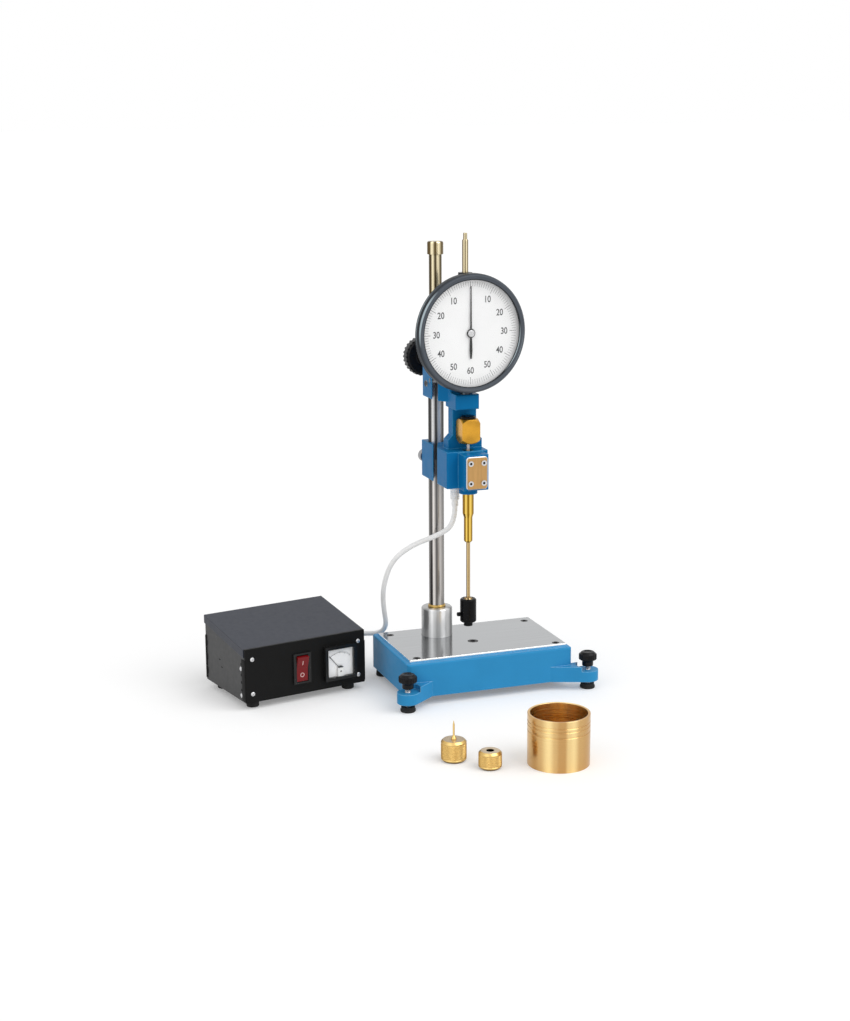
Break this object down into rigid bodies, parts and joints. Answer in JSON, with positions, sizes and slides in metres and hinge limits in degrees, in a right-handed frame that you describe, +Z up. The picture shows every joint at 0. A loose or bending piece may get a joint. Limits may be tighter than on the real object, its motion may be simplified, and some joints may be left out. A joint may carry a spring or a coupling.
{
  "type": "laboratory penetrometer",
  "caption": "Bench penetrometer: a blue stand with a round column carries a dial gauge and a falling needle holder, wired to a small control box, with a sample cup and weights.",
  "frame": {"origin": "middle of the sample plate's top face", "axes": "+Z up along the column, +X to the right of the base seen from its front, -Y towards the front where the cup and weights stand"},
  "size_m": [0.3812, 0.3876, 0.4687],
  "materials": {
    "blue_paint": "satin hammered enamel",
    "plate_steel": "ground steel",
    "steel": "turned steel",
    "rubber": "matt",
    "chrome": "polished",
    "aluminium": "turned",
    "brass": "turned and polished",
    "black_plastic": "moulded",
    "black_steel": "blackened",
    "bezel_grey": "satin slate grey",
    "dial_white": "matt white",
    "glass": "clear",
    "pointer_black": "matt",
    "cover_bronze": "brushed",
    "case_black": "fine textured",
    "panel_black": "satin",
    "lid_slate": "satin",
    "meter_black": "moulded",
    "meter_white": "printed scale plate",
    "rocker_red": "translucent red",
    "lead_white": "soft sheath",
    "coil_copper": "enamelled copper wire",
    "board_green": "laminate",
    "iron": "laminated"
  },
  "bodies": {
    "stand": {"base_casting": "blue_paint", "sample_plate": "plate_steel", "plate_screws": "steel", "rear_feet": "rubber", "column": "chrome", "column_collar": "aluminium", "column_bush": "brass", "column_cap": "brass", "controller_case": "case_black", "controller_lid": "lid_slate", "front_panel": "panel_black", "rear_panel": "panel_black", "controller_screws": "steel", "controller_feet": "rubber", "transformer": "iron", "circuit_board": "board_green", "mains_inlet": "meter_black", "lead_gland": "black_plastic", "meter_housing": "meter_black", "meter_face": "meter_white", "meter_window": "glass", "switch_bezel": "meter_black", "lead": "lead_white"},
    "head": {"head_casting": "blue_paint", "clamp_screws": "steel", "plunger_guide": "brass", "release_coil": "coil_copper", "magnet_cover": "cover_bronze", "cover_screws": "steel", "strain_relief": "lead_white", "dial_case": "bezel_grey", "arbor_bridge": "brass", "rod_bush": "black_steel"},
    "bezel_ring": {"bezel": "bezel_grey", "dial_face": "dial_white", "dial_crystal": "glass"},
    "pointer_set": {"pointer": "pointer_black", "pointer_arbor": "steel"},
    "gauge_rod": {"dial_rod": "brass"},
    "plunger": {"plunger_head": "brass", "plunger_disc": "black_steel", "plunger_rod": "chrome", "plunger_tail": "brass", "needle_holder": "black_steel"},
    "needle_clamp": {"holder_screw": "black_steel"},
    "brake": {"release_armature": "steel"},
    "lock_screw": {"lock_stud": "steel"},
    "lock_handle": {"lock_knob": "black_plastic"},
    "pad_left": {"level_foot_left": "rubber"},
    "leveller_left": {"level_knob_left": "black_plastic", "level_stud_left": "steel"},
    "pad_right": {"level_foot_right": "rubber"},
    "leveller_right": {"level_knob_right": "black_plastic", "level_stud_right": "steel"},
    "switch": {"rocker": "rocker_red"},
    "meter_pointer": {"meter_needle": "pointer_black"},
    "cup": {"sample_cup": "brass"},
    "weight_large": {"large_weight": "brass"},
    "needle": {"test_needle": "brass"},
    "weight_small": {"small_weight": "brass"}
  },
  "joints": [
    {"name": "head_height", "type": "slide", "parent": "stand", "child": "head", "axis": [0, 0, 1], "range_m": [-0.015, 0.046], "deforming": ["lead"]},
    {"name": "bezel_turn", "type": "hinge", "parent": "head", "child": "bezel_ring", "pos_m": [-0.017, -0.028, 0.3247], "axis": [0.108, -0.9942, 0], "continuous": true},
    {"name": "gauge_rod_slide", "type": "slide", "parent": "head", "child": "gauge_rod", "axis": [0, 0, 1], "range_m": [-0.0056, 0.01]},
    {"name": "pointer_turn", "type": "hinge", "parent": "head", "child": "pointer_set", "pos_m": [-0.017, -0.028, 0.3247], "axis": [0.108, -0.9942, 0], "range_deg": [-169, 301]},
    {"name": "plunger_drop", "type": "slide", "parent": "head", "child": "plunger", "axis": [0, 0, 1], "range_m": [-0.0073, 0.0056]},
    {"name": "needle_clamp_turn", "type": "hinge", "parent": "plunger", "child": "needle_clamp", "pos_m": [-0.0223, -0.028, 0.036], "axis": [-1, 0, 0], "range_deg": [-180, 180]},
    {"name": "brake_release", "type": "slide", "parent": "head", "child": "brake", "axis": [0, -1, 0], "range_m": [0, 0.0012], "stiffness_N_per_m": 1500, "springref_m": -0.001},
    {"name": "lock_turn", "type": "hinge", "parent": "lock_screw", "child": "lock_handle", "pos_m": [-0.028, 0.058, 0.289], "axis": [0, 1, 0], "range_deg": [-1, 361]},
    {"name": "lock_screw_slide", "type": "slide", "parent": "head", "child": "lock_screw", "axis": [0, 1, 0], "range_m": [0, 0.00125]},
    {"name": "level_left_turn", "type": "hinge", "parent": "pad_left", "child": "leveller_left", "pos_m": [-0.093, -0.067, -0.017], "axis": [0, 0, 1], "range_deg": [-1261, 721]},
    {"name": "level_left_lift", "type": "slide", "parent": "stand", "child": "pad_left", "axis": [0, 0, 1], "range_m": [-0.0035, 0.002]},
    {"name": "level_right_turn", "type": "hinge", "parent": "pad_right", "child": "leveller_right", "pos_m": [0.1055, -0.061, -0.017], "axis": [0, 0, 1], "range_deg": [-1261, 721]},
    {"name": "level_right_lift", "type": "slide", "parent": "stand", "child": "pad_right", "axis": [0, 0, 1], "range_m": [-0.0035, 0.002]},
    {"name": "power_switch", "type": "hinge", "parent": "stand", "child": "switch", "pos_m": [-0.18375, 0.00202, -0.012], "axis": [0.9799, 0.1994, 0], "range_deg": [-16, 0]},
    {"name": "meter_swing", "type": "hinge", "parent": "stand", "child": "meter_pointer", "pos_m": [-0.14154, 0.00775, -0.019], "axis": [-0.1994, 0.9799, 0], "range_deg": [0, 80], "stiffness_Nm_per_rad": 0.0004},
    {"name": "cup_lift", "type": "slide", "parent": "stand", "child": "cup", "axis": [0, 0, 1], "range_m": [0, 0.06]},
    {"name": "large_weight_lift", "type": "slide", "parent": "stand", "child": "weight_large", "axis": [0, 0, 1], "range_m": [0, 0.06]},
    {"name": "needle_draw", "type": "slide", "parent": "weight_large", "child": "needle", "axis": [0, 0, 1], "range_m": [0, 0.03]},
    {"name": "small_weight_lift", "type": "slide", "parent": "stand", "child": "weight_small", "axis": [0, 0, 1], "range_m": [0, 0.06]}
  ],
  "couplings": [
    {"joint": "pointer_turn", "follows": "gauge_rod_slide", "rad_per_m": 523.6},
    {"joint": "lock_turn", "follows": "lock_screw_slide", "rad_per_m": 5026.5},
    {"joint": "level_left_turn", "follows": "level_left_lift", "rad_per_m": 6283.2},
    {"joint": "level_right_turn", "follows": "level_right_lift", "rad_per_m": 6283.2}
  ]
}
